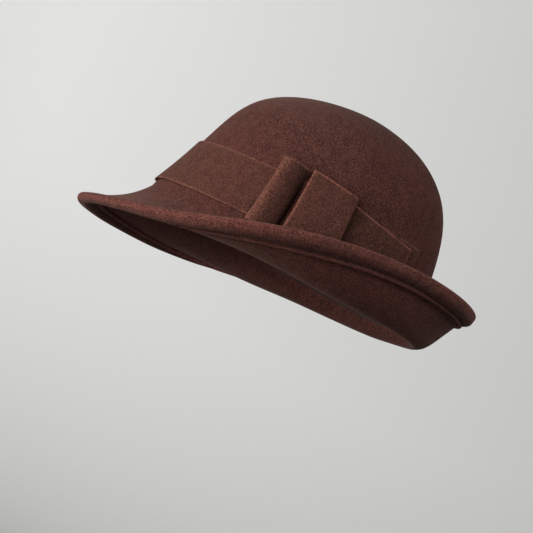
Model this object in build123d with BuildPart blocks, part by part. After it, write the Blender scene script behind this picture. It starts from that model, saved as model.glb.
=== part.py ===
from build123d import *
import os
from math import cos, exp, hypot, pi, radians, sin

# A wool-felt hat with a round bowler crown and a soft brim, as its separate pieces.
#
# Frame: the origin is the centre of the head opening, +Z runs up through the crown, -Y is the
# wearer's front and +X the wearer's left. phi goes round the head: 0 at the front, 90 degrees
# at the wearer's left, 180 at the back. Millimetres and degrees.
#
# A tuple of sizes holds one number that is the same all round, then how much of cos(phi),
# cos(2 phi) and cos(3 phi) is added to it, so front, sides and back can differ.

# Hood: one blocked piece of felt that is both crown and brim.
FELT = 2.2
CROWN_HALF_LENGTH = 102.6
CROWN_HALF_WIDTH = 83.5
CROWN_HEIGHT = 109.0
TAPER_LENGTH = 0.261
TAPER_WIDTH = 0.205
DOME_POWER = 6.0
DOME_ROOT = 1.78
LEAN_BACK = 18.1
LEAN_RETURN = 12.7

BREAK_HEIGHT = (-8.1, 5.2)
BRIM_WIDTH = (53.4, -1.0)
BRIM_START_ANGLE = (14.0, 22.0)
BRIM_END_ANGLE = (134.7, -45.8, -13.7, 10.8)
CURL_LENGTH = (23.3, 16.5)
CURL_POWER = 1.3
EDGE_LENGTH = 34.0
EDGE_LIFT = (7.3, 2.2, -10.3, -1.3)

# Hem: the brim's edge is turned under round a wire and stitched down in a groove.
CHANNEL_RADIUS = 0.9
LIP_RADIUS = FELT + CHANNEL_RADIUS
HEM_WIDTH = 14.2
HEM_GAP = 0.2
GROOVE_INSET = 11.4
GROOVE_DEPTH = 0.5
WIRE_RADIUS = 0.5
JOINER_RADIUS = 0.76
JOINER_BORE_RADIUS = 0.58
JOINER_LENGTH = 6.0

# Band: a felt strip round the front of the crown, open at the back.
BAND_FELT = 1.6
BAND_BOTTOM = 2.0
BAND_TOP = 38.8
BAND_END = 147.5
LAYER_GAP = 0.3

# Bow, on the wearer's left.
BOW_BOTTOM = -2.0
BOW_TOP = 47.5
LOOP_START = 73.3
LOOP_END = 83.2
LOOP_RISE = 12.8
LOOP_LEAN = 3.4
LOOP_ARCH = ((-1, 0), (-0.94, 0.5), (-0.66, 0.87), (-0.15, 1), (0.4, 0.87), (0.82, 0.5), (1, 0))
DEGREES_PER_MM = 0.62
FLAP_START = 87.0
FLAP_END = 108.0
FLAP_LEAN = 3.2
FLAP_FOLD = 1.2
FLAP_SWELL = 1.2
FLAP_SPRING = 2.2
FLAP_BACK_START = 93.0
TAIL_START = 96.0
TAIL_END = 141.0
TAIL_SLANT = 6.5
TAIL_OVERRUN = 8.0

# Sweatband, inside the opening.
SWEATBAND_HEIGHT = 25.0
SWEATBAND_THICKNESS = 0.8
SWEATBAND_RISE = 1.5
SWEATBAND_CLEARANCE = 0.35
LABEL_WIDTH = 14.0
LABEL_HEIGHT = 9.0
LABEL_THICKNESS = 0.4
LABEL_PHI = 168.0
LABEL_RISE = 12.0
LABEL_CLEARANCE = 0.5

# Thread.
THREAD_RADIUS = 0.25
THREAD_CLEARANCE = 0.2
SWEATBAND_ROW_RISE = 1.5
SEAM_STITCHES = 5
SEAM_STITCH = 3.0
SEAM_PITCH = 4.5
TACK = 4.0
BAND_TACK_RISE = 33.0
BAND_TACK_ANGLES = (-144, -105, -60, -20, 20, 60)
BOW_TACK_RISES = (26, 40)
BOW_TACK_ANGLES = (78, 92, 104, 138)

RING_POINTS = 24
BRIM_STEPS = 7
PROFILE_STEPS = 40


def around(values, phi):
    """A size that differs round the head, at phi in radians."""
    return sum(value * cos(k * phi) for k, value in enumerate(values))


# ---------------------------------------------------------------- crown and brim surfaces

def crown_point(phi, z, out=0.0):
    """A point of the crown's outer surface, moved outwards by out."""
    level = z / CROWN_HEIGHT
    rise = max(z, 0.0) / (CROWN_HEIGHT + min(out, 0.0))
    dome = (1 - min(rise, 1.0) ** DOME_POWER) ** (1 / DOME_ROOT)
    half_length = (CROWN_HALF_LENGTH * (1 - TAPER_LENGTH * level) + out) * dome
    half_width = (CROWN_HALF_WIDTH * (1 - TAPER_WIDTH * level) + out) * dome
    middle = LEAN_BACK * max(level, 0) - LEAN_RETURN * max(level, 0) ** 2
    return Vector(half_width * sin(phi), middle - half_length * cos(phi), z)


def outward(phi):
    """Level direction away from the head."""
    x = sin(phi) / CROWN_HALF_WIDTH
    y = -cos(phi) / CROWN_HALF_LENGTH
    size = hypot(x, y)
    return Vector(x / size, y / size, 0)


def brim_angle(phi, s):
    """Angle of the brim's profile from straight down, s out from where the brim begins."""
    start = around(BRIM_START_ANGLE, phi)
    end = around(BRIM_END_ANGLE, phi)
    share = 1 - exp(-((s / around(CURL_LENGTH, phi)) ** CURL_POWER))
    near = max(0.0, 1 - (around(BRIM_WIDTH, phi) - s) / EDGE_LENGTH)
    lift = around(EDGE_LIFT, phi) * near ** 2 * (3 - 2 * near)
    return radians(start + (end - start) * share + lift)


def brim_point(phi, s, depth=0.0):
    """A point s out along the brim and depth below its upper face."""
    reach = 0.0
    drop = 0.0
    step = s / PROFILE_STEPS
    for i in range(PROFILE_STEPS):
        angle = brim_angle(phi, (i + 0.5) * step)
        reach += step * sin(angle)
        drop += step * cos(angle)
    angle = brim_angle(phi, s)
    reach -= depth * cos(angle)
    drop += depth * sin(angle)
    start = crown_point(phi, around(BREAK_HEIGHT, phi))
    return start + outward(phi) * reach - Vector(0, 0, drop)


def lip_start(phi):
    """Where the brim's upper face begins to turn under, measured out along the brim."""
    return around(BRIM_WIDTH, phi) - LIP_RADIUS


def lip_point(phi, turn, radius):
    """A point on the turned edge: turn is 90 on the upper face, 0 at the tip, -90 below."""
    angle = brim_angle(phi, lip_start(phi))
    centre = brim_point(phi, lip_start(phi), LIP_RADIUS)
    forward = outward(phi) * sin(angle) - Vector(0, 0, cos(angle))
    upward = outward(phi) * cos(angle) + Vector(0, 0, sin(angle))
    return centre + (forward * cos(radians(turn)) + upward * sin(radians(turn))) * radius


# ---------------------------------------------------------------- rings and skins

def ring(point):
    """A closed smooth wire through point(phi), all round the head."""
    points = [point(2 * pi * i / RING_POINTS) for i in range(RING_POINTS)]
    with BuildLine() as line:
        Spline(*points, periodic=True)
    return line.wire()


def closed_skin(*patches):
    """One solid bounded by patches, each lofted through its rings in order."""
    faces = [face for rings in patches for face in Shell.make_loft(rings).faces()]
    return Solid(Shell(faces))


def crown_rings(out, lowest):
    """Rings from just below the crown's top down to lowest above the brim's break."""
    height = CROWN_HEIGHT + out
    rings = []
    for turn in (82, 68, 54, 40, 28, 18, 10):
        rise = (1 - cos(radians(turn)) ** DOME_ROOT) ** (1 / DOME_POWER)
        rings.append(ring(lambda phi: crown_point(phi, height * rise, out)))
    top_of_wall = 0.46 * height
    for share in (0.8, 0.5, 0.22, 0.0):
        def wall(phi):
            low = around(BREAK_HEIGHT, phi) + lowest
            return crown_point(phi, low + (top_of_wall - low) * share, out)
        rings.append(ring(wall))
    return rings


def brim_rings(depth, first):
    """Rings out along the brim, from step first to where the edge turns."""
    return [
        ring(lambda phi: brim_point(phi, lip_start(phi) * step / BRIM_STEPS, depth))
        for step in range(first, BRIM_STEPS + 1)
    ]


def lip_rings(radius, turns):
    return [ring(lambda phi: lip_point(phi, turn, radius)) for turn in turns]


def hem_ring(inset, depth):
    """A ring inset from the brim's edge and depth below its upper face."""
    return ring(lambda phi: brim_point(phi, around(BRIM_WIDTH, phi) - inset, depth))


# ---------------------------------------------------------------- the hood

def hood_solid():
    layers = 2 * FELT + HEM_GAP
    tip = Vertex(*crown_point(0, CROWN_HEIGHT))
    inner_tip = Vertex(*crown_point(0, CROWN_HEIGHT - FELT, -FELT))
    upper = [tip] + crown_rings(0, 0) + brim_rings(0, 1)
    lip = [upper[-1]] + lip_rings(LIP_RADIUS, (60, 30, 0, -30, -60, -90))
    hem_under = [
        lip[-1],
        hem_ring(LIP_RADIUS + 2.6, layers + 2.3),
        hem_ring(GROOVE_INSET - 2.8, layers + 1.8),
        hem_ring(GROOVE_INSET - 1.1, layers + 0.4),
        hem_ring(GROOVE_INSET, layers - GROOVE_DEPTH),
        hem_ring(GROOVE_INSET + 1.1, layers - 0.05),
        hem_ring(HEM_WIDTH - 0.5, layers),
        hem_ring(HEM_WIDTH, layers - 0.5),
    ]
    cut_edge = [hem_under[-1], hem_ring(HEM_WIDTH, FELT + HEM_GAP)]
    channel = lip_rings(CHANNEL_RADIUS, (-90, -45, 0, 45))
    hem_inner = [
        cut_edge[-1],
        hem_ring(GROOVE_INSET, FELT + HEM_GAP),
        hem_ring(GROOVE_INSET - 2.8, FELT + HEM_GAP + 1.4),
        hem_ring(LIP_RADIUS + 2.6, FELT + HEM_GAP + 1.9),
        channel[0],
    ]
    under = brim_rings(FELT, 1)[::-1] + crown_rings(-FELT, 3)[::-1] + [inner_tip]
    return closed_skin(upper, lip, hem_under, cut_edge, hem_inner, channel + [under[0]], under)


with BuildPart() as felt_hood:
    add(hood_solid())
felt_hood.part.label = "felt_hood"


# ---------------------------------------------------------------- brim wire and its joiner

def wire_solid():
    rails = lip_rings(WIRE_RADIUS, (90, 45, 0, -45, -90, -135, -180, -225))
    return closed_skin(rails[:5], rails[4:] + rails[:1])


with BuildPart() as brim_wire:
    add(wire_solid())
brim_wire.part.label = "brim_wire"

joiner_plane = Plane(origin=lip_point(pi, 0, 0), z_dir=(1, 0, 0))
with BuildPart() as wire_joiner:
    with BuildSketch(joiner_plane):
        Circle(JOINER_RADIUS)
        Circle(JOINER_BORE_RADIUS, mode=Mode.SUBTRACT)
    extrude(amount=JOINER_LENGTH / 2, both=True)
wire_joiner.part.label = "wire_joiner"


# ---------------------------------------------------------------- band and bow

def outline(z, corners):
    """A closed level outline on the crown at height z: corners are runs of (phi, out)."""
    with BuildSketch(Plane.XY.offset(z)) as sketch:
        with BuildLine():
            for run in corners:
                points = [crown_point(radians(phi), z, out) for phi, out in run]
                flat = [(point.X, point.Y) for point in points]
                if len(flat) > 2:
                    Spline(*flat)
                else:
                    Line(*flat)
        make_face()
    return sketch.sketch


def strip_runs(start, end, inner, outer, step=12.0):
    """The runs of a strip of constant thickness that lies on the crown."""
    count = max(3, round((end - start) / step) + 1)
    angles = [start + (end - start) * i / (count - 1) for i in range(count)]
    return [
        [(phi, outer) for phi in angles],
        [(end, outer), (end, inner)],
        [(phi, inner) for phi in reversed(angles)],
        [(start, inner), (start, outer)],
    ]


band_inner = LAYER_GAP
band_outer = band_inner + BAND_FELT
with BuildPart() as crown_band:
    for z in (BAND_BOTTOM, (BAND_BOTTOM + BAND_TOP) / 2, BAND_TOP):
        add(outline(z, strip_runs(-BAND_END, BAND_END, band_inner, band_outer)))
    loft()
crown_band.part.label = "crown_band"

# The tail lies over the band and slants down towards the back.
tail_inner = band_outer + LAYER_GAP
tail_outer = tail_inner + BAND_FELT
tail_middle = crown_point(radians((TAIL_START + TAIL_END) / 2), (BAND_BOTTOM + BAND_TOP) / 2)
tail_run = crown_point(radians(TAIL_END), 0) - crown_point(radians(TAIL_START), 0)
tail_heading = Plane(
    origin=tail_middle,
    x_dir=tail_run - Vector(0, 0, TAIL_SLANT),
    z_dir=outward(radians((TAIL_START + TAIL_END) / 2)),
)
tail_heights = (BAND_BOTTOM - TAIL_OVERRUN, (BAND_BOTTOM + BAND_TOP) / 2, BAND_TOP + TAIL_OVERRUN)
tail_length = 2 * tail_run.length
with BuildPart() as bow_tail:
    for z in tail_heights:
        add(outline(z, strip_runs(TAIL_START, TAIL_END, tail_inner, tail_outer)))
    loft()
    with Locations(tail_heading):
        Box(tail_length, BAND_TOP - BAND_BOTTOM, tail_length, mode=Mode.INTERSECT)
bow_tail.part.label = "bow_tail"

# The loop is a strip rolled into a tube, flat where it lies on the band. The loop and the flap
# both lean: lower down, they lie further back.
loop_inner = band_outer + LAYER_GAP
loop_half = (LOOP_END - LOOP_START) / 2
bow_middle = (BOW_BOTTOM + BOW_TOP) / 2


def leaned(phi, lean, z):
    """phi moved back by lean at the bow's bottom, and not at all at its top."""
    return phi + lean * (BOW_TOP - z) / (BOW_TOP - BOW_BOTTOM)


def loop_runs(z, inset):
    """The loop's outline at height z, drawn in by inset on every side."""
    middle = leaned((LOOP_START + LOOP_END) / 2, LOOP_LEAN, z)
    half = loop_half - inset * DEGREES_PER_MM
    low = loop_inner + inset
    height = LOOP_RISE - inset - low
    over = [(middle + half * x, low + height * rise) for x, rise in LOOP_ARCH]
    under = [(middle + half * x, low) for x in (1, 0, -1)]
    return [over, under]


with BuildPart() as loop_hollow:
    for z in (BOW_BOTTOM - 1, bow_middle, BOW_TOP + 1):
        add(outline(z, loop_runs(z, BAND_FELT)))
    loft()
with BuildPart() as bow_loop:
    for z in (BOW_BOTTOM, bow_middle, BOW_TOP):
        add(outline(z, loop_runs(z, 0)))
    loft()
    add(loop_hollow.part, mode=Mode.SUBTRACT)
bow_loop.part.label = "bow_loop"

# The flap is a strip folded back on itself at its rear edge. Its front layer springs up a little
# where it ends, beside the loop.
fold_low = tail_outer + LAYER_GAP
fold_high = fold_low + 2 * BAND_FELT + LAYER_GAP
slit_low = fold_low + BAND_FELT
slit_high = slit_low + LAYER_GAP
front_low = slit_high + FLAP_SPRING
front_high = fold_high + FLAP_SPRING


def flap_runs(z):
    """The folded flap's outline at height z: front layer, fold, back layer and the slit between."""
    start = leaned(FLAP_START, FLAP_LEAN, z)
    back_start = leaned(FLAP_BACK_START, FLAP_LEAN, z)
    end = leaned(FLAP_END, FLAP_LEAN, z)
    bend = end - FLAP_FOLD
    slit_end = bend - 0.4
    middle = (start + end) / 2
    back_middle = (back_start + end) / 2
    return [
        [(start, front_high), (middle, fold_high + FLAP_SWELL), (bend, fold_high)],
        [(bend, fold_high), (end, (fold_low + fold_high) / 2), (bend, fold_low)],
        [(bend, fold_low), (back_middle, fold_low), (back_start, fold_low)],
        [(back_start, fold_low), (back_start, slit_low)],
        [(back_start, slit_low), (back_middle, slit_low), (slit_end, slit_low)],
        [(slit_end, slit_low), (slit_end, slit_high)],
        [(slit_end, slit_high), (middle, slit_high + FLAP_SWELL), (start, front_low)],
        [(start, front_low), (start, front_high)],
    ]


with BuildPart() as bow_flap:
    for z in (BOW_BOTTOM, bow_middle, BOW_TOP):
        add(outline(z, flap_runs(z)))
    loft()
bow_flap.part.label = "bow_flap"


# ---------------------------------------------------------------- sweatband and label

def sweatband_ring(share, out):
    def point(phi):
        low = around(BREAK_HEIGHT, phi) + SWEATBAND_RISE
        return crown_point(phi, low + share * SWEATBAND_HEIGHT, out)
    return ring(point)


sweatband_outer = -(FELT + SWEATBAND_CLEARANCE)
sweatband_inner = sweatband_outer - SWEATBAND_THICKNESS


def sweatband_solid():
    outer = [sweatband_ring(share, sweatband_outer) for share in (0, 0.5, 1)]
    inner = [sweatband_ring(share, sweatband_inner) for share in (1, 0.5, 0)]
    return closed_skin(outer, [outer[-1], inner[0]], inner, [inner[-1], outer[0]])


with BuildPart() as sweatband:
    add(sweatband_solid())
sweatband.part.label = "sweatband"

label_out = sweatband_inner - LABEL_CLEARANCE - LABEL_THICKNESS / 2
label_phi = radians(LABEL_PHI)
label_low = around(BREAK_HEIGHT, label_phi) + LABEL_RISE
label_up = crown_point(label_phi, SWEATBAND_HEIGHT) - crown_point(label_phi, 0)
label_side = label_up.cross(outward(label_phi))
label_plane = Plane(
    origin=crown_point(label_phi, label_low, label_out),
    x_dir=label_side,
    z_dir=label_up.cross(label_side),
)
with BuildPart() as size_label:
    with BuildSketch(label_plane):
        RectangleRounded(LABEL_WIDTH, LABEL_HEIGHT, 0.8)
    extrude(amount=LABEL_THICKNESS / 2, both=True)
size_label.part.label = "size_label"


# ---------------------------------------------------------------- stitching

def thread_solid(centre):
    """A closed strand that follows centre(phi), round in section."""
    def rail(turn):
        side = Vector(0, 0, sin(radians(turn)) * THREAD_RADIUS)
        reach = cos(radians(turn)) * THREAD_RADIUS
        return ring(lambda phi: centre(phi) + outward(phi) * reach + side)
    rails = [rail(turn) for turn in (0, 60, 120, 180, 240, 300)]
    return closed_skin(rails[:4], rails[3:] + rails[:1])


def groove_point(phi):
    depth = 2 * FELT + HEM_GAP - GROOVE_DEPTH + THREAD_RADIUS + THREAD_CLEARANCE
    return brim_point(phi, around(BRIM_WIDTH, phi) - GROOVE_INSET, depth)


with BuildPart() as hem_stitching:
    add(thread_solid(groove_point))
hem_stitching.part.label = "hem_stitching"


def sweatband_row_point(phi):
    low = around(BREAK_HEIGHT, phi) + SWEATBAND_RISE + SWEATBAND_ROW_RISE
    return crown_point(phi, low, sweatband_inner - THREAD_RADIUS - THREAD_CLEARANCE)


with BuildPart() as sweatband_stitching:
    add(thread_solid(sweatband_row_point))
sweatband_stitching.part.label = "sweatband_stitching"

# Short upright stitches close the sweatband's ends at the back of the head.
seam_out = sweatband_inner - THREAD_RADIUS - THREAD_CLEARANCE
seam_planes = []
for i in range(SEAM_STITCHES):
    low = around(BREAK_HEIGHT, pi) + SWEATBAND_RISE + SEAM_PITCH * (i + 0.9)
    here = crown_point(pi, low, seam_out)
    there = crown_point(pi, low + 1, seam_out)
    seam_planes.append(Plane(origin=here, z_dir=there - here))
with BuildPart() as sweatband_seam:
    with Locations(*seam_planes):
        Cylinder(THREAD_RADIUS, SEAM_STITCH)
sweatband_seam.part.label = "sweatband_seam"

tack_out = -(FELT + THREAD_RADIUS + THREAD_CLEARANCE)


def inside_tack(phi, z):
    """Where a short stitch lies level on the crown's inner face."""
    here = crown_point(radians(phi), z, tack_out)
    there = crown_point(radians(phi + 1), z, tack_out)
    return Plane(origin=here, z_dir=there - here)


band_tack_planes = [inside_tack(phi, BAND_TACK_RISE) for phi in BAND_TACK_ANGLES]
with BuildPart() as band_tacks:
    with Locations(*band_tack_planes):
        Cylinder(THREAD_RADIUS, TACK)
band_tacks.part.label = "band_tacks"

bow_tack_planes = [inside_tack(phi, z) for z in BOW_TACK_RISES for phi in BOW_TACK_ANGLES]
with BuildPart() as bow_tacks:
    with Locations(*bow_tack_planes):
        Cylinder(THREAD_RADIUS, TACK)
bow_tacks.part.label = "bow_tacks"


# ---------------------------------------------------------------- files

pieces = [
    felt_hood, brim_wire, wire_joiner, hem_stitching, crown_band, bow_loop, bow_flap, bow_tail,
    bow_tacks, band_tacks, sweatband, sweatband_stitching, sweatband_seam, size_label,
]
os.makedirs("parts", exist_ok=True)
for piece in pieces:
    export_step(piece.part, f"parts/{piece.part.label}.step")
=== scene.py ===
import math

import bmesh
import bpy
import numpy as np
from mathutils import Matrix, Vector


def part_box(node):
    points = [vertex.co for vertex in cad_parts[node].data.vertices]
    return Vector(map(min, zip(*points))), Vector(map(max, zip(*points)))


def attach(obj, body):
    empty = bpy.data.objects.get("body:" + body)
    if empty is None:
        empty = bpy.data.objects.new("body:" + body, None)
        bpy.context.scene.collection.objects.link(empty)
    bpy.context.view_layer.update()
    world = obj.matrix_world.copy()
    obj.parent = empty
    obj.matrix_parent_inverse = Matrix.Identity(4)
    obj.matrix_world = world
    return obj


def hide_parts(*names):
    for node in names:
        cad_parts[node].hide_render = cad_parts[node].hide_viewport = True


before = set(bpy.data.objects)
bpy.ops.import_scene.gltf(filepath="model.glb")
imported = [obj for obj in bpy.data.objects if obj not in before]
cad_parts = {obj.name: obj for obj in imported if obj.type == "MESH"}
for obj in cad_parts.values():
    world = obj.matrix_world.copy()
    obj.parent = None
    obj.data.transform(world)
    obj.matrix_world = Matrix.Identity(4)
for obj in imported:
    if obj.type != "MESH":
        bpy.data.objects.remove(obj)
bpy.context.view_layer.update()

# A wool-felt hat with a round crown, a soft brim, a felt band and a side bow.
# Sizes are in millimetres, as in the CAD model, and become metres in make_mesh().
# phi goes round the head: 0 at the front (-Y), 90 degrees at the wearer's left (+X).
# A tuple of sizes is a constant, then how much of cos(phi), cos(2 phi), cos(3 phi) it gains.

# Hood
FELT = 2.2
CROWN_HALF_LENGTH = 102.6
CROWN_HALF_WIDTH = 83.5
CROWN_HEIGHT = 109.0
TAPER_LENGTH = 0.261
TAPER_WIDTH = 0.205
DOME_POWER = 6.0
DOME_ROOT = 1.78
LEAN_BACK = 18.1
LEAN_RETURN = 12.7
BREAK_HEIGHT = (-8.1, 5.2)
BRIM_WIDTH = (53.4, -1.0)
BRIM_START_ANGLE = (14.0, 22.0)
BRIM_END_ANGLE = (134.7, -45.8, -13.7, 10.8)
CURL_LENGTH = (23.3, 16.5)
CURL_POWER = 1.3
EDGE_LENGTH = 34.0
EDGE_LIFT = (7.3, 2.2, -10.3, -1.3)

# Hem
CHANNEL_RADIUS = 0.9
LIP_RADIUS = FELT + CHANNEL_RADIUS
HEM_WIDTH = 14.2
HEM_GAP = 0.2
GROOVE_INSET = 11.4
HEM_PITCH = 5.2

# Band and bow
TRIM_FELT = 1.6
LAYER_GAP = 0.3
BAND_BOTTOM = 2.0
BAND_TOP = 38.8
BAND_END = 147.5
BOW_BOTTOM = -2.0
BOW_TOP = 47.5
TAIL_START = 96.0
TAIL_END = 141.0

# Sweatband
SWEATBAND_HEIGHT = 25.0
SWEATBAND_THICKNESS = 0.8
SWEATBAND_RISE = 1.5
SWEATBAND_CLEARANCE = 0.35
SWEATBAND_ROUNDING = 0.3
LABEL_WIDTH = 14.0
LABEL_HEIGHT = 9.0
LABEL_THICKNESS = 0.4
LABEL_ROUNDING = 0.15
LABEL_PHI = 168.0

MM = 0.001
PHI = np.linspace(0, 2 * np.pi, 540, endpoint=False)
UP = np.array([0.0, 0.0, 1.0])


# ---------------------------------------------------------------- the hat's surfaces

def around(values, phi):
    """A size that differs round the head."""
    return sum(value * np.cos(k * phi) for k, value in enumerate(values))


def crown(phi, z, out=0.0):
    """Points of the crown's outer surface, moved outwards by out."""
    phi, z, out = np.broadcast_arrays(phi, np.asarray(z, float), np.asarray(out, float))
    level = z / CROWN_HEIGHT
    rise = np.clip(z / (CROWN_HEIGHT + np.minimum(out, 0)), 0, 1)
    dome = (1 - rise ** DOME_POWER) ** (1 / DOME_ROOT)
    half_length = (CROWN_HALF_LENGTH * (1 - TAPER_LENGTH * level) + out) * dome
    half_width = (CROWN_HALF_WIDTH * (1 - TAPER_WIDTH * level) + out) * dome
    climb = np.maximum(level, 0)
    middle = LEAN_BACK * climb - LEAN_RETURN * climb ** 2
    return np.stack([half_width * np.sin(phi), middle - half_length * np.cos(phi), z], -1)


def outward(phi):
    """Level directions away from the head."""
    x = np.sin(phi) / CROWN_HALF_WIDTH
    y = -np.cos(phi) / CROWN_HALF_LENGTH
    size = np.hypot(x, y)
    return np.stack([x / size, y / size, 0 * x], -1)


def brim_angle(phi, s):
    """Angle of the brim's profile from straight down, s out from where the brim begins."""
    start = around(BRIM_START_ANGLE, phi)
    end = around(BRIM_END_ANGLE, phi)
    share = 1 - np.exp(-((s / around(CURL_LENGTH, phi)) ** CURL_POWER))
    near = np.clip(1 - (around(BRIM_WIDTH, phi) - s) / EDGE_LENGTH, 0, 1)
    lift = around(EDGE_LIFT, phi) * near ** 2 * (3 - 2 * near)
    return np.radians(start + (end - start) * share + lift)


def brim(phi, s, depth=0.0):
    """Points s out along the brim and depth below its upper face."""
    phi, s, depth = np.broadcast_arrays(phi, np.asarray(s, float), np.asarray(depth, float))
    steps = (np.arange(40) + 0.5) / 40
    angles = brim_angle(phi[:, None], s[:, None] * steps)
    here = brim_angle(phi, s)
    reach = np.sin(angles).mean(1) * s - depth * np.cos(here)
    drop = np.cos(angles).mean(1) * s + depth * np.sin(here)
    start = crown(phi, around(BREAK_HEIGHT, phi))
    return start + outward(phi) * reach[:, None] - UP * drop[:, None]


def lip(phi, turn, radius):
    """Points on the turned edge: turn is 90 on the upper face, 0 at the tip, -90 below."""
    s = around(BRIM_WIDTH, phi) - LIP_RADIUS
    angle = brim_angle(phi, s)[:, None]
    forward = outward(phi) * np.sin(angle) - UP * np.cos(angle)
    upward = outward(phi) * np.cos(angle) + UP * np.sin(angle)
    turn = math.radians(turn)
    return brim(phi, s, LIP_RADIUS) + (forward * math.cos(turn) + upward * math.sin(turn)) * radius


def soften(points):
    """The slight hand-shaped unevenness of blocked felt, the same field for every piece."""
    rng = np.random.default_rng(7)
    moved = points.copy()
    for wavelength, size in ((150, 0.5), (95, 0.32), (62, 0.2), (41, 0.1)):
        for _ in range(3):
            heading = rng.normal(size=3)
            heading *= 2 * np.pi / wavelength / np.linalg.norm(heading)
            push = rng.normal(size=3)
            push *= size / np.linalg.norm(push)
            wave = np.sin(points @ heading + rng.uniform(0, 2 * np.pi))
            moved += wave[..., None] * push
    return moved


# ---------------------------------------------------------------- materials

def new_material(name, base, roughness, sheen=0.0, metallic=0.0):
    material = bpy.data.materials.new(name)
    material.use_nodes = True
    nodes = material.node_tree.nodes
    shader = nodes["Principled BSDF"]
    shader.inputs["Base Color"].default_value = (*base, 1)
    shader.inputs["Roughness"].default_value = roughness
    shader.inputs["Metallic"].default_value = metallic
    shader.inputs["Sheen Weight"].default_value = sheen
    shader.inputs["Sheen Roughness"].default_value = 0.55
    shader.inputs["Sheen Tint"].default_value = (1.0, 0.62, 0.5, 1)
    shader.inputs["Specular IOR Level"].default_value = 0.5 if metallic else 0.12
    return material


class Graph:
    """A small helper that adds and links shader nodes."""

    def __init__(self, material):
        self.tree = material.node_tree
        self.shader = self.tree.nodes["Principled BSDF"]
        self.place = self.add("ShaderNodeTexCoord").outputs["Object"]

    def add(self, kind, **values):
        node = self.tree.nodes.new(kind)
        for key, value in values.items():
            setattr(node, key, value)
        return node

    def link(self, a, b):
        self.tree.links.new(a, b)

    def noise(self, scale, detail=2.0, roughness=0.5, stretch=None, turn=(0, 0, 0)):
        node = self.add("ShaderNodeTexNoise")
        node.inputs["Scale"].default_value = scale
        node.inputs["Detail"].default_value = detail
        node.inputs["Roughness"].default_value = roughness
        vector = self.place
        if stretch:
            mapping = self.add("ShaderNodeMapping")
            mapping.inputs["Scale"].default_value = stretch
            mapping.inputs["Rotation"].default_value = turn
            self.link(self.place, mapping.inputs["Vector"])
            vector = mapping.outputs["Vector"]
        self.link(vector, node.inputs["Vector"])
        return node.outputs["Fac"]

    def ramp(self, value, stops):
        node = self.add("ShaderNodeValToRGB")
        elements = node.color_ramp.elements
        while len(elements) < len(stops):
            elements.new(0.5)
        for element, (position, colour) in zip(elements, stops):
            element.position = position
            element.color = (*colour, 1)
        self.link(value, node.inputs["Fac"])
        return node.outputs["Color"]

    def math(self, operation, a, b):
        node = self.add("ShaderNodeMath", operation=operation)
        for socket, value in zip(node.inputs, (a, b)):
            if isinstance(value, (int, float)):
                socket.default_value = value
            else:
                self.link(value, socket)
        return node.outputs[0]

    def span(self, value, low, high, to_low, to_high):
        node = self.add("ShaderNodeMapRange")
        sizes = {"From Min": low, "From Max": high, "To Min": to_low, "To Max": to_high}
        for key, size in sizes.items():
            node.inputs[key].default_value = size
        self.link(value, node.inputs["Value"])
        return node.outputs["Result"]

    def mix(self, share, a, b, blend="MIX"):
        node = self.add("ShaderNodeMix", data_type="RGBA", blend_type=blend)
        for socket, value in zip((node.inputs[0], node.inputs[6], node.inputs[7]), (share, a, b)):
            if isinstance(value, (int, float)):
                socket.default_value = value
            elif isinstance(value, tuple):
                socket.default_value = (*value, 1)
            else:
                self.link(value, socket)
        return node.outputs[2]

    def attribute(self, name, output="Fac"):
        return self.add("ShaderNodeAttribute", attribute_name=name).outputs[output]

    def bump(self, height, distance, strength=1.0, normal=None):
        node = self.add("ShaderNodeBump")
        node.inputs["Distance"].default_value = distance
        node.inputs["Strength"].default_value = strength
        self.link(height, node.inputs["Height"])
        if normal is not None:
            self.link(normal, node.inputs["Normal"])
        return node.outputs["Normal"]


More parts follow.
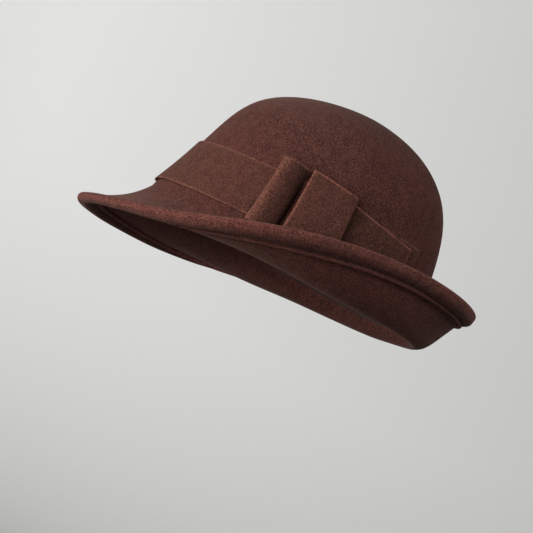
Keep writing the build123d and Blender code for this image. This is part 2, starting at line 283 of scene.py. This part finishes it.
def felt_material(name, dark, middle, light, red):
    """Matted wool: mottled dye, criss-cross fibres and pale specks.

    A vertex attribute makes it paler where it is above 0, on raw edges and as painted highlight, and
    darker where it is below, as painted shade.
    """
    material = new_material(name, middle, 0.95, sheen=0.10)
    g = Graph(material)
    patches = g.noise(22, 3, 0.55)
    clumps = g.noise(150, 3, 0.6)
    grain = g.noise(1150, 3, 0.7)
    fibre_a = g.noise(420, 2, 0.6, stretch=(1, 5, 1.5), turn=(0.4, 0.2, 0.7))
    fibre_b = g.noise(420, 2, 0.6, stretch=(5, 1, 1.5), turn=(0.9, -0.5, 0.1))
    fibre_c = g.noise(420, 2, 0.6, stretch=(1.5, 1, 5), turn=(-0.3, 0.8, 1.4))
    fibres = g.math("MAXIMUM", g.math("MAXIMUM", fibre_a, fibre_b), fibre_c)
    tone = g.math("ADD", g.math("MULTIPLY", grain, 0.8), g.math("MULTIPLY", clumps, 0.13))
    tone = g.math("ADD", tone, g.math("MULTIPLY", patches, 0.07))
    colour = g.ramp(tone, [(0.41, dark), (0.5, middle), (0.59, light)])
    colour = g.mix(g.span(patches, 0.45, 0.65, 0.0, 0.3), colour, red)
    colour = g.mix(g.span(fibres, 0.62, 0.8, 0.0, 0.5), colour, tuple(1.9 * c for c in light))
    specks = g.noise(520, 2, 0.7)
    colour = g.mix(g.span(specks, 0.71, 0.8, 0.0, 0.6), colour, (0.30, 0.19, 0.15))
    # paler above 0 for raw edges and painted highlight, darker below 0 for painted shade
    pale_edges_and_painted_light = g.attribute("pale_edges_and_painted_light")
    colour = g.mix(g.span(pale_edges_and_painted_light, 0.0, 1.0, 0.0, 1.0), colour, (2.45, 2.4, 2.35), "MULTIPLY")
    colour = g.mix(g.span(pale_edges_and_painted_light, 0.0, -1.0, 0.0, 1.0), colour, (0.44, 0.41, 0.4), "MULTIPLY")
    g.link(colour, g.shader.inputs["Base Color"])
    g.link(g.span(grain, 0.3, 0.7, 0.86, 1.0), g.shader.inputs["Roughness"])
    relief = g.math("ADD", g.math("MULTIPLY", grain, 0.6), g.math("MULTIPLY", fibres, 0.5))
    soft = g.bump(clumps, 0.0012, 0.35)
    g.link(g.bump(relief, 0.0006, 0.7, soft), g.shader.inputs["Normal"])
    return material


def ribbon_material():
    """Grosgrain: fine raised ribs across the ribbon."""
    material = new_material("grosgrain", (0.03, 0.017, 0.015), 0.6, sheen=0.15)
    g = Graph(material)
    wave = g.add("ShaderNodeTexWave", wave_type="BANDS", bands_direction="X")
    wave.inputs["Scale"].default_value = 0.32
    wave.inputs["Distortion"].default_value = 0.25
    g.link(g.attribute("along", "Vector"), wave.inputs["Vector"])
    threads = g.noise(1600, 2, 0.6)
    colour = g.mix(wave.outputs["Fac"], (0.016, 0.009, 0.008), (0.05, 0.028, 0.024))
    colour = g.mix(g.span(threads, 0.4, 0.7, 0, 0.4), colour, (0.075, 0.045, 0.038))
    g.link(colour, g.shader.inputs["Base Color"])
    g.link(g.span(threads, 0.3, 0.7, 0.5, 0.75), g.shader.inputs["Roughness"])
    g.link(g.bump(wave.outputs["Fac"], 0.0003, 0.8), g.shader.inputs["Normal"])
    return material


def thread_material():
    material = new_material("sewing_thread", (0.05, 0.026, 0.022), 0.7, sheen=0.3)
    g = Graph(material)
    wave = g.add("ShaderNodeTexWave", wave_type="BANDS", bands_direction="DIAGONAL")
    wave.inputs["Scale"].default_value = 420
    wave.inputs["Distortion"].default_value = 1.0
    g.link(g.place, wave.inputs["Vector"])
    colour = g.mix(wave.outputs["Fac"], (0.03, 0.015, 0.013), (0.075, 0.04, 0.034))
    g.link(colour, g.shader.inputs["Base Color"])
    g.link(g.bump(wave.outputs["Fac"], 0.0001, 0.6), g.shader.inputs["Normal"])
    return material


def label_material():
    """A plain woven tab, left blank."""
    material = new_material("woven_tab", (0.62, 0.58, 0.5), 0.5, sheen=0.2)
    g = Graph(material)
    warp = g.noise(900, 1, 0.5, stretch=(6, 6, 0.6))
    weft = g.noise(900, 1, 0.5, stretch=(0.6, 0.6, 6))
    weave = g.math("MAXIMUM", warp, weft)
    g.link(g.mix(weave, (0.42, 0.38, 0.32), (0.72, 0.68, 0.6)), g.shader.inputs["Base Color"])
    g.link(g.span(weave, 0.4, 0.7, 0.38, 0.6), g.shader.inputs["Roughness"])
    g.link(g.bump(weave, 0.00015, 0.7), g.shader.inputs["Normal"])
    return material


def wire_material():
    material = new_material("drawn_wire", (0.5, 0.51, 0.53), 0.35, metallic=1.0)
    g = Graph(material)
    drawn = g.noise(500, 3, 0.6)
    g.link(g.span(drawn, 0.35, 0.7, 0.25, 0.5), g.shader.inputs["Roughness"])
    g.link(g.mix(drawn, (0.38, 0.38, 0.4), (0.6, 0.61, 0.63)), g.shader.inputs["Base Color"])
    g.link(g.bump(drawn, 0.00005, 0.5), g.shader.inputs["Normal"])
    return material


HOOD_FELT = felt_material(
    "hood_felt", dark=(0.022, 0.0071, 0.0055), middle=(0.067, 0.0221, 0.0167),
    light=(0.138, 0.051, 0.040), red=(0.084, 0.020, 0.020),
)
TRIM_FELT_MATERIAL = felt_material(
    "trim_felt", dark=(0.024, 0.0083, 0.0062), middle=(0.070, 0.0256, 0.0177),
    light=(0.140, 0.056, 0.040), red=(0.080, 0.025, 0.020),
)
RIBBON = ribbon_material()
THREAD = thread_material()
LABEL = label_material()
WIRE = wire_material()


# ---------------------------------------------------------------- mesh helpers

def make_mesh(name, points, faces, material, replaced, pale_edges_and_painted_light=None, along=None):
    """A smooth closed piece that rides on the hat and stands for a CAD node."""
    mesh = bpy.data.meshes.new(name)
    mesh.from_pydata((soften(points) * MM).tolist(), [], faces)
    # the vertex attribute carries pale raw edges plus painted highlight and painted shade
    if pale_edges_and_painted_light is not None:
        mesh.attributes.new("pale_edges_and_painted_light", "FLOAT", "POINT").data.foreach_set("value", np.asarray(pale_edges_and_painted_light, np.float32))
    if along is not None:
        layer = mesh.attributes.new("along", "FLOAT_VECTOR", "POINT")
        layer.data.foreach_set("vector", np.asarray(along, np.float32).ravel())
    work = bmesh.new()
    work.from_mesh(mesh)
    bmesh.ops.remove_doubles(work, verts=work.verts, dist=1e-7)
    bmesh.ops.recalc_face_normals(work, faces=work.faces)
    work.to_mesh(mesh)
    work.free()
    mesh.shade_smooth()
    piece = bpy.data.objects.new(name, mesh)
    bpy.context.scene.collection.objects.link(piece)
    mesh.materials.append(material)
    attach(piece, "root")
    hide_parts(replaced)
    return piece


def grid_faces(rows, columns, first=0, wrap=True):
    """Quads between neighbouring rows of a grid, closed round its columns if wrap."""
    faces = []
    last = columns if wrap else columns - 1
    for r in range(rows - 1):
        base = first + r * columns
        for c in range(last):
            d = (c + 1) % columns
            faces.append((base + c, base + d, base + columns + d, base + columns + c))
    return faces


def border_steps(length, rounding, step):
    """Distances across a strip, close together at its rounded borders."""
    edge = rounding * (1 - np.cos(np.radians([0, 25, 45, 65, 90])))
    count = max(2, int(round((length - 2 * rounding) / step)))
    middle = np.linspace(rounding, length - rounding, count + 1)[1:-1]
    return np.concatenate([edge, middle, (length - edge)[::-1]])


def border_lift(distance, rounding):
    """Share of the full half thickness, distance in from a rounded border."""
    near = np.clip(1 - distance / rounding, 0, 1)
    return np.sqrt(1 - near ** 2)


def slab(name, a, b, place, thickness, material, replaced, rounding=0.4, wrap=False,
         lightness_shift=1.0, tone=None):
    """A strip of cloth of real thickness: place(a, b, n) gives points n above its middle.

    Its raw borders are paler by the given amount, and the rest is paler or darker by tone(a): painted
    highlight and painted shade.
    """
    across, down = np.meshgrid(a, b, indexing="ij")
    edge = np.minimum(down - b[0], b[-1] - down)
    if not wrap:
        edge = np.minimum(edge, np.minimum(across - a[0], a[-1] - across))
    lift = border_lift(edge, rounding) * thickness / 2
    top = place(across, down, lift).reshape(-1, 3)
    bottom = place(across, down, -lift).reshape(-1, 3)
    rows, columns = across.shape
    faces = []
    for side, flip in ((0, False), (rows * columns, True)):
        for r in range(rows if wrap else rows - 1):
            s = (r + 1) % rows
            for c in range(columns - 1):
                quad = (r * columns + c, s * columns + c, s * columns + c + 1, r * columns + c + 1)
                quad = tuple(side + v for v in quad)
                faces.append(quad[::-1] if flip else quad)
    # raw borders are paler; tone adds painted highlight and painted shade
    pale_edges_and_painted_light = lightness_shift * np.clip((0.7 - edge) / 0.3, 0, 1)
    if tone is not None:
        pale_edges_and_painted_light += (1 - pale_edges_and_painted_light) * tone(across)
    pale_edges_and_painted_light = pale_edges_and_painted_light.ravel()
    along = np.stack([across.ravel(), down.ravel(), 0 * down.ravel()], -1)
    return make_mesh(
        name, np.concatenate([top, bottom]), faces, material, replaced,
        pale_edges_and_painted_light=np.concatenate([pale_edges_and_painted_light, pale_edges_and_painted_light]), along=np.concatenate([along, along]),
    )


PATH_STEPS = 40


def smooth_path(points, closed=False):
    """A Catmull-Rom curve through points, with PATH_STEPS samples between neighbours."""
    points = np.asarray(points, float)
    if closed:
        points = np.concatenate([points[-1:], points, points[:2]])
    else:
        points = np.concatenate([2 * points[:1] - points[1:2], points, 2 * points[-1:] - points[-2:-1]])
    fine = []
    for p0, p1, p2, p3 in zip(points, points[1:], points[2:], points[3:]):
        for t in np.linspace(0, 1, PATH_STEPS, endpoint=False):
            fine.append(
                0.5 * (2 * p1 + (p2 - p0) * t + (2 * p0 - 5 * p1 + 4 * p2 - p3) * t ** 2
                       + (3 * p1 - p0 - 3 * p2 + p3) * t ** 3)
            )
    fine.append(points[-2] if not closed else fine[0])
    fine = np.asarray(fine)
    travelled = np.concatenate([[0], np.cumsum(np.linalg.norm(np.diff(fine, axis=0), axis=1))])
    return fine, travelled


def stitches(name, centres, headings, normals, length, radius, dip, material, replaced):
    """Short threads that rise from the cloth, lie on it and sink back in."""
    turns = np.linspace(0, 2 * np.pi, 8, endpoint=False)
    shares = np.linspace(-1, 1, 9)
    points, faces = [], []
    for centre, heading, normal in zip(centres, headings, normals):
        side = np.cross(heading, normal)
        first = len(points)
        for share in shares:
            sink = dip * share ** 4
            girth = radius * (1 - 0.55 * share ** 4)
            middle = centre + heading * (share * length / 2) - normal * sink
            for turn in turns:
                points.append(middle + (side * math.cos(turn) + normal * math.sin(turn)) * girth)
        faces += grid_faces(len(shares), len(turns), first)
        faces.append(tuple(first + k for k in range(len(turns))))
        last = first + (len(shares) - 1) * len(turns)
        faces.append(tuple(last + k for k in reversed(range(len(turns)))))
    return make_mesh(name, np.asarray(points), faces, material, replaced)


def row_of_stitches(point, pitch, start=0.0, end=2 * np.pi):
    """Centres and headings of stitches evenly along point(phi)."""
    phi = np.linspace(start, end, 2881)
    path = point(phi)
    travelled = np.concatenate([[0], np.cumsum(np.linalg.norm(np.diff(path, axis=0), axis=1))])
    count = int(travelled[-1] / pitch)
    at = np.interp((np.arange(count) + 0.5) * travelled[-1] / count, travelled, phi)
    ahead = point(at + 0.002) - point(at - 0.002)
    return at, point(at), ahead / np.linalg.norm(ahead, axis=1)[:, None]


# ---------------------------------------------------------------- the hood

HEM_RUN = 870.0   # millimetres round the brim along the groove
HEM_STITCHES = int(HEM_RUN / HEM_PITCH)
BRIM_SHADE = -0.3   # painted shade on the brim's underside


def hem_depth(inset):
    """How far below the upper face the turned-under layer's outside lies."""
    layers = 2 * FELT + HEM_GAP
    shape = [
        (LIP_RADIUS, layers + 1.6), (4.4, layers + 2.15), (6.0, layers + 2.5),
        (7.5, layers + 2.35), (8.8, layers + 1.8), (9.9, layers + 0.95),
        (GROOVE_INSET - 0.7, layers), (GROOVE_INSET, layers - 0.75),
        (GROOVE_INSET + 0.5, layers - 0.3), (GROOVE_INSET + 1.2, layers + 0.25),
        (HEM_WIDTH - 0.8, layers + 0.25), (HEM_WIDTH - 0.3, layers + 0.05), (HEM_WIDTH, layers - 0.5),
    ]
    insets, depths = zip(*shape)
    return np.interp(inset, insets, depths)


def hem_painted_light(inset):
    """Painted highlight near the edge, where the fuzz catches the light, and just past the groove; painted
    shade in the groove.
    """
    places = [3.6, 6.0, 8.0, GROOVE_INSET - 1.0, GROOVE_INSET + 0.6, GROOVE_INSET + 1.4, HEM_WIDTH - 0.6]
    return float(np.interp(inset, places, [0.3, 0.05, -0.2, -0.7, -0.7, 0.25, 0.0]))


def hem_row(inset, depth):
    """A ring below the brim, its felt drawn in at every stitch of the groove."""
    close = math.exp(-((inset - GROOVE_INSET) / 1.3) ** 2)
    pucker = 0.22 * close * np.cos(PHI * HEM_STITCHES)
    return brim(PHI, around(BRIM_WIDTH, PHI) - inset, depth - pucker)


def hood_rows():
    """Rings from the crown's top, out over the brim, round the hem and back up inside."""
    rows, pale_edges_and_painted_light = [], []

    def ring(points, lightness_shift=0.0):
        rows.append(points)
        pale_edges_and_painted_light.append(lightness_shift)

    turns = np.radians(np.arange(88, 5, -2.5))
    for turn in turns:
        rise = (1 - np.cos(turn) ** DOME_ROOT) ** (1 / DOME_POWER)
        # painted shade: the top rows of the crown are darker
        shade = float(np.interp(rise, [0.75, 0.95], [0.0, -0.5]))
        ring(crown(PHI, CROWN_HEIGHT * rise), shade)
    lowest_dome = CROWN_HEIGHT * (1 - np.cos(turns[-1]) ** DOME_ROOT) ** (1 / DOME_POWER)
    low = around(BREAK_HEIGHT, PHI)
    for share in np.linspace(1, 0, 26)[1:]:
        ring(crown(PHI, low + (lowest_dome - low) * share))
    flat = around(BRIM_WIDTH, PHI) - LIP_RADIUS
    for share in np.linspace(0, 1, 37)[1:]:
        ring(brim(PHI, flat * share))
    for turn in range(75, -91, -15):
        # painted highlight on the rolled lip
        lip_painted_highlight = float(np.interp(turn, [-90, -45, 0, 45], [0.35, 0.5, 0.4, 0.0]))
        ring(lip(PHI, turn, LIP_RADIUS), lip_painted_highlight)
    # painted highlight near the edge and past the groove, painted shade in the groove
    for inset in np.linspace(3.6, HEM_WIDTH - 0.3, 24):
        ring(hem_row(inset, hem_depth(inset)), hem_painted_light(inset))
    layer = FELT + HEM_GAP
    ring(hem_row(HEM_WIDTH - 0.05, 2 * FELT - 0.1), 0.9)
    ring(hem_row(HEM_WIDTH, 1.6 * FELT), 0.9)
    ring(hem_row(HEM_WIDTH - 0.05, layer + 0.15), 0.6)
    ring(hem_row(HEM_WIDTH - 0.4, layer))
    ring(hem_row(GROOVE_INSET, layer))
    ring(hem_row(GROOVE_INSET - 2.8, layer + 1.4))
    ring(hem_row(LIP_RADIUS + 2.6, layer + 1.9))
    for turn in (-90, -45, 0, 45, 90):
        ring(lip(PHI, turn, CHANNEL_RADIUS))
    # painted shade on the brim's underside
    for share in np.linspace(1, 0, 37)[1:-2]:
        ring(brim(PHI, flat * share, FELT), BRIM_SHADE)
    inner_height = CROWN_HEIGHT - FELT
    inner_turns = np.radians(np.arange(8, 89, 4))
    lowest_dome = inner_height * (1 - np.cos(inner_turns[0]) ** DOME_ROOT) ** (1 / DOME_POWER)
    for share in np.linspace(0.05, 0.95, 14):
        ring(crown(PHI, low + (lowest_dome - low) * share, -FELT))
    for turn in inner_turns:
        rise = (1 - np.cos(turn) ** DOME_ROOT) ** (1 / DOME_POWER)
        ring(crown(PHI, inner_height * rise, -FELT))
    return np.asarray(rows), pale_edges_and_painted_light


def make_hood():
    rows, pale_edges_and_painted_light = hood_rows()
    count, columns = rows.shape[:2]
    faces = grid_faces(count, columns)
    tips = [crown(np.zeros(1), CROWN_HEIGHT)[0], crown(np.zeros(1), CROWN_HEIGHT - FELT, -FELT)[0]]
    points = np.concatenate([rows.reshape(-1, 3), tips])
    top, inside, last = count * columns, count * columns + 1, (count - 1) * columns
    for c in range(columns):
        d = (c + 1) % columns
        faces.append((top, d, c))
        faces.append((inside, last + c, last + d))
    # pale raw edges, painted highlight and painted shade of every ring
    lightness_shift = np.concatenate([np.repeat(pale_edges_and_painted_light, columns), [0, 0]])
    return make_mesh("felt_hood_blocked", points, faces, HOOD_FELT, "felt_hood", pale_edges_and_painted_light=lightness_shift)


def groove_normals(phi):
    angle = brim_angle(phi, around(BRIM_WIDTH, phi) - GROOVE_INSET)[:, None]
    return -(outward(phi) * np.cos(angle) + UP * np.sin(angle))


def make_hem_stitches():
    def groove(phi):
        return brim(phi, around(BRIM_WIDTH, phi) - GROOVE_INSET, 2 * FELT + HEM_GAP - 0.7)
    at, centres, headings = row_of_stitches(groove, HEM_PITCH)
    stitches("hem_stitches", centres, headings, groove_normals(at), 3.2, 0.25, 0.7, THREAD,
             "hem_stitching")


# ---------------------------------------------------------------- band and bow

DEGREE = 1.78   # millimetres round the crown for each degree of phi, near the bow
ROUNDING = 0.4   # of a strip's cut borders
STRIP_STEP = 1.5
CLOSE_STEP = 0.8
TAIL_TOP = 40.9   # height of the tail's upper edge at TAIL_MIDDLE
TAIL_MIDDLE = 108.0
TAIL_FALL = 0.17   # millimetres for each degree


def crown_strip(name, replaced, path, low, high, closed=False, lean=0.0, flare=0.0, lightness_shift=1.0,
                painted_light_levels=None):
    """A felt strip whose middle follows path, points of (phi in degrees, out), from low to high.

    Its lower edge lies further back by lean degrees and stands off by flare. The listed levels say how
    much painted highlight (paler) or painted shade (darker) it has at each point of the path.
    """
    fine, travelled = smooth_path([(phi * DEGREE, out) for phi, out in path], closed)
    ahead = np.gradient(fine, axis=0)
    if closed:
        ahead[0] = ahead[-1] = fine[1] - fine[-2]
    ahead /= np.linalg.norm(ahead, axis=1)[:, None]
    length = travelled[-1]
    if closed:
        a = np.linspace(0, length, int(length / CLOSE_STEP), endpoint=False)
    else:
        a = border_steps(length, ROUNDING, STRIP_STEP)
    width = high(path[0][0]) - low(path[0][0])
    b = border_steps(width, ROUNDING, STRIP_STEP)

    def place(a, b, n):
        x = np.interp(a, travelled, fine[:, 0]) - n * np.interp(a, travelled, ahead[:, 1])
        out = np.interp(a, travelled, fine[:, 1]) + n * np.interp(a, travelled, ahead[:, 0])
        phi = x / DEGREE
        share = b / width
        z = low(phi) + (high(phi) - low(phi)) * share
        out = out + flare * (1 - share) ** 4
        return crown(np.radians(phi + lean * (1 - share)), z, out)

    knots = travelled[::PATH_STEPS]
    levels = [0.0] * len(knots) if painted_light_levels is None else (painted_light_levels + painted_light_levels[:1])[:len(knots)]
    piece = slab(name, a, b, place, TRIM_FELT, TRIM_FELT_MATERIAL, replaced, wrap=closed,
                 lightness_shift=lightness_shift, tone=lambda across: np.interp(across, knots, levels))
    return piece, width * MM, length * MM


def make_band_and_bow():
    band_out = LAYER_GAP + TRIM_FELT / 2
    layer = TRIM_FELT + LAYER_GAP

    def level(z):
        return lambda phi: z + 0 * phi

    count = 60
    band_path = [(phi, band_out) for phi in np.linspace(-BAND_END, BAND_END, count)]
    band, width, length = crown_strip(
        "band_strip", "crown_band", band_path, level(BAND_BOTTOM), level(BAND_TOP), flare=0.7, lightness_shift=0.5
    )

    def tail_top(phi):
        return TAIL_TOP - TAIL_FALL * (phi - TAIL_MIDDLE)

    def tail_bottom(phi):
        return tail_top(phi) - (BAND_TOP - BAND_BOTTOM)

    tail_path = [(phi, band_out + layer) for phi in np.linspace(TAIL_START, TAIL_END, 10)]
    # painted shadow of the flap on the tail, darkest next to the flap
    tail, width, length = crown_strip(
        "bow_tail_strip", "bow_tail", tail_path, tail_bottom, tail_top,
        painted_light_levels=[-0.8, -0.8, -0.8, -0.6, -0.25, 0, 0, 0, 0, 0],
    )

    loop_path = [
        (77.4, band_out + layer), (80.4, band_out + layer), (83.4, band_out + layer), (84.6, 4.0),
        (84.1, 5.6), (82.9, 7.3), (81.3, 9.0), (79.5, 10.6), (77.7, 11.8), (76.1, 11.9), (75.0, 10.2),
        (74.6, 7.5), (74.6, 4.7), (75.3, band_out + layer),
    ]

    def loop_top(phi):
        return BOW_TOP - 0.02 * (phi - 78.0) ** 2

    # painted highlight on the loop's left side, painted shade down its right slope and at its foot
    loop, width, length = crown_strip(
        "bow_loop_roll", "bow_loop", loop_path, level(BOW_BOTTOM), loop_top, closed=True, lean=3.4,
        painted_light_levels=[-0.5, -0.5, -1, -1, -0.9, -0.65, -0.35, -0.05, 0.25, 0.5, 0.4, 0.2, 0, -0.5],
    )

    lower = band_out + 2 * layer
    upper = lower + layer
    flap_path = [
        (87.3, upper + 2.4), (90.0, upper + 2.0), (94.0, upper + 1.6), (98.0, upper + 1.1),
        (102.0, upper + 0.7), (106.4, upper + 0.4), (107.3, upper - 0.3),
        (106.7, lower), (101.0, lower), (97.0, lower), (93.0, lower),
    ]

    def flap_top(phi):
        return BOW_TOP + 0.1 - 0.11 * (phi - 87.3)

    # painted highlights on the flap's left edge and right fold, painted shade just under the fold
    flap, width, length = crown_strip(
        "bow_flap_fold", "bow_flap", flap_path, level(BOW_BOTTOM), flap_top, lean=3.2,
        painted_light_levels=[0.2, 0, 0, 0, 0, 0, 0.8, -0.4, 0, 0, 0],
    )


# ---------------------------------------------------------------- inside

LINING_OUT = -(FELT + SWEATBAND_CLEARANCE + SWEATBAND_THICKNESS / 2)


def make_sweatband():
    half_perimeter = math.pi * (CROWN_HALF_LENGTH + CROWN_HALF_WIDTH) / 2
    scale = half_perimeter / np.pi

    def place(a, b, n):
        phi = a / scale
        low = around(BREAK_HEIGHT, phi) + SWEATBAND_RISE
        ripple = 0.12 * np.sin(9 * phi) * b / SWEATBAND_HEIGHT
        return crown(phi, low + b, LINING_OUT + n - ripple)

    a = PHI * scale
    b = border_steps(SWEATBAND_HEIGHT, SWEATBAND_ROUNDING, STRIP_STEP)
    piece = slab("sweatband_ribbon", a, b, place, SWEATBAND_THICKNESS, RIBBON, "sweatband",
                 rounding=SWEATBAND_ROUNDING, wrap=True)


def make_inner_stitches():
    inner = LINING_OUT - SWEATBAND_THICKNESS / 2

    def row(phi):
        return crown(phi, around(BREAK_HEIGHT, phi) + SWEATBAND_RISE + 1.5, inner - 0.12)

    at, centres, headings = row_of_stitches(row, 4.6)
    stitches("sweatband_stitches", centres, headings, -outward(at), 2.6, 0.22, 0.5, THREAD,
             "sweatband_stitching")
    back = np.full(5, np.pi)
    heights = around(BREAK_HEIGHT, back) + SWEATBAND_RISE + 4 + 4.5 * np.arange(5)
    centres = crown(back, heights, inner - 0.12)
    ahead = crown(back, heights + 1, inner - 0.12) - centres
    ahead /= np.linalg.norm(ahead, axis=1)[:, None]
    stitches("sweatband_seam_stitches", centres, ahead, -outward(back), 3.0, 0.22, 0.5, THREAD,
             "sweatband_seam")


def make_tacks():
    """Crossed stitches on the crown's inner face that hold the band and the bow."""
    sets = {
        "band_tack_stitches": ("band_tacks", [(phi, 33) for phi in (-144, -105, -60, -20, 20, 60)]),
        "bow_tack_stitches": ("bow_tacks", [(phi, z) for z in (26, 40) for phi in (78, 92, 104, 138)]),
    }
    for name, (replaced, spots) in sets.items():
        phi = np.radians([spot[0] for spot in spots])
        z = np.array([spot[1] for spot in spots], float)
        centres = crown(phi, z, -FELT - 0.12)
        level = crown(phi + 0.01, z, -FELT) - crown(phi - 0.01, z, -FELT)
        level /= np.linalg.norm(level, axis=1)[:, None]
        rising = crown(phi, z + 1, -FELT) - crown(phi, z - 1, -FELT)
        rising /= np.linalg.norm(rising, axis=1)[:, None]
        slant = level * math.cos(0.5) + rising * math.sin(0.5)
        other = level * math.cos(0.5) - rising * math.sin(0.5)
        normals = -np.cross(rising, level)
        facing = np.sign((normals * -outward(phi)).sum(1))[:, None]
        normals = normals * facing
        stitches(
            name, np.concatenate([centres, centres + normals * 0.2]), np.concatenate([slant, other]),
            np.concatenate([normals, normals]), 4.0, 0.22, 0.5, THREAD, replaced,
        )


def make_label():
    low, high = (np.array(corner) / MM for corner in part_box("size_label"))
    middle = (low + high) / 2
    phi = math.radians(LABEL_PHI)
    across = np.array([math.cos(phi) * CROWN_HALF_WIDTH, math.sin(phi) * CROWN_HALF_LENGTH, 0])
    across /= np.linalg.norm(across)
    rising = crown(np.array([phi]), 20.0)[0] - crown(np.array([phi]), 0.0)[0]
    rising /= np.linalg.norm(rising)
    facing = np.cross(rising, across)

    def place(a, b, n):
        bow = 0.35 * ((a / (LABEL_WIDTH / 2)) ** 2 - 1)
        return (middle + across * a[..., None] + rising * (b - LABEL_HEIGHT / 2)[..., None]
                + facing * (n + bow * 0.6)[..., None])

    across_steps = border_steps(LABEL_WIDTH, LABEL_ROUNDING, 1.0) - LABEL_WIDTH / 2
    rising_steps = border_steps(LABEL_HEIGHT, LABEL_ROUNDING, 1.0)
    slab("size_tab", across_steps, rising_steps, place, LABEL_THICKNESS, LABEL, "size_label",
         rounding=LABEL_ROUNDING)


# ---------------------------------------------------------------- camera, stage and light

GLOW_FRONT = 0.60
GLOW_BACK = 0.31
FLOOR = -0.5   # metres below the head opening
SWEEP_RADIUS = 3.4
SWEEP_BEND = 1.2
CAMERA_DISTANCE = 1.3
CAMERA_LENS = 126.0
CAMERA_SENSOR = 36.0
CAMERA_TURN = -6.0
CAMERA_RISE = -4.91
CAMERA_ROLL = 27.94
AIM = Vector((0.0, -0.0064, -0.0154))
LIGHT_DISTANCE = 1.7


def camera_frame():
    """The camera's right, up and backward directions."""
    turn, rise, roll = (math.radians(v) for v in (CAMERA_TURN, CAMERA_RISE, CAMERA_ROLL))
    back = Vector((math.cos(turn) * math.cos(rise), -math.sin(turn) * math.cos(rise), math.sin(rise)))
    right = (-back).cross(Vector((0, 0, 1))).normalized()
    up = right.cross(-back)
    return (
        right * math.cos(roll) + up * math.sin(roll),
        up * math.cos(roll) - right * math.sin(roll),
        back,
    )


RIGHT, ABOVE, BACK = camera_frame()


def make_camera():
    data = bpy.data.cameras.new("camera")
    data.lens = CAMERA_LENS
    data.sensor_width = CAMERA_SENSOR
    camera = bpy.data.objects.new("camera", data)
    turned = Matrix((RIGHT, ABOVE, BACK)).transposed().to_4x4()
    camera.matrix_world = Matrix.Translation(AIM + BACK * CAMERA_DISTANCE) @ turned
    bpy.context.scene.collection.objects.link(camera)
    bpy.context.scene.camera = camera


def stage_material():
    """Grey paper that glows as painted light behind the hat on the wearer's right, most of all towards the
    front.
    """
    material = new_material("grey_paper", (0.4, 0.4, 0.395), 0.9)
    g = Graph(material)
    fine = g.noise(60, 4, 0.6)
    g.link(g.mix(fine, (0.39, 0.39, 0.385), (0.41, 0.41, 0.405)), g.shader.inputs["Base Color"])
    axes = g.add("ShaderNodeSeparateXYZ")
    g.link(g.place, axes.inputs[0])
    behind = g.span(axes.outputs["X"], -3.2, -1.2, 1.0, 0.0)
    forward = g.span(axes.outputs["Y"], -1.0, 1.0, GLOW_FRONT, GLOW_BACK)
    # painted glow: the paper emits light behind the hat, strongest towards the front
    g.link(g.math("MULTIPLY", behind, forward), g.shader.inputs["Emission Strength"])
    g.shader.inputs["Emission Color"].default_value = (1.0, 1.0, 0.985, 1)
    return material


def make_stage():
    """A pale floor that sweeps up into a round wall, well below and behind the hat."""
    flat = SWEEP_RADIUS - SWEEP_BEND
    profile = [(0.8, 0.0), (1.6, 0.0), (flat, 0.0)]
    for bend in np.linspace(0.15, math.pi / 2, 12):
        profile.append((flat + SWEEP_BEND * math.sin(bend), SWEEP_BEND - SWEEP_BEND * math.cos(bend)))
    profile += [(SWEEP_RADIUS, 2.0), (SWEEP_RADIUS, 3.2)]
    turns = np.linspace(0, 2 * np.pi, 96, endpoint=False)
    points = [(r * math.cos(t), r * math.sin(t), z + FLOOR) for r, z in profile for t in turns]
    faces = grid_faces(len(profile), len(turns))
    points.append((0, 0, FLOOR))
    faces += [(len(points) - 1, c, (c + 1) % len(turns)) for c in range(len(turns))]
    mesh = bpy.data.meshes.new("studio_sweep")
    mesh.from_pydata(points, [], faces)
    mesh.shade_smooth()
    mesh.materials.append(stage_material())
    sweep = bpy.data.objects.new("studio_sweep", mesh)
    bpy.context.scene.collection.objects.link(sweep)


def make_light(name, towards, size, power, colour=(1, 1, 1)):
    """A soft panel, towards = (right, above, back) as the camera sees it."""
    data = bpy.data.lights.new(name, "AREA")
    data.shape = "DISK"
    data.size = size
    data.energy = power
    data.color = colour
    light = bpy.data.objects.new(name, data)
    direction = (RIGHT * towards[0] + ABOVE * towards[1] + BACK * towards[2]).normalized()
    light.location = direction * LIGHT_DISTANCE
    light.rotation_mode = "QUATERNION"
    light.rotation_quaternion = direction.to_track_quat("Z", "Y")
    bpy.context.scene.collection.objects.link(light)


def make_world():
    world = bpy.data.worlds.new("studio")
    bpy.context.scene.world = world
    world.use_nodes = True
    background = world.node_tree.nodes["Background"]
    background.inputs["Color"].default_value = (1.0, 1.0, 1.0, 1)
    background.inputs["Strength"].default_value = 0.2


bpy.context.scene.view_settings.view_transform = "Standard"
make_camera()
make_stage()
make_world()
make_light("side", (-0.9, 0.2, 0.42), size=0.6, power=25, colour=(1.0, 0.985, 0.97))
make_light("key", (-0.5, 0.6, 0.65), size=0.8, power=10)
make_light("front", (-0.5, 0.2, 0.85), size=1.0, power=10)
make_light("fill", (0.9, 0.35, 0.3), size=1.0, power=9.5)

make_hood()
make_hem_stitches()
make_band_and_bow()
make_sweatband()
make_inner_stitches()
make_tacks()
make_label()
for node in ("brim_wire", "wire_joiner"):
    material_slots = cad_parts[node].material_slots
    for material_slot in material_slots:
        material_slot.material = WIRE
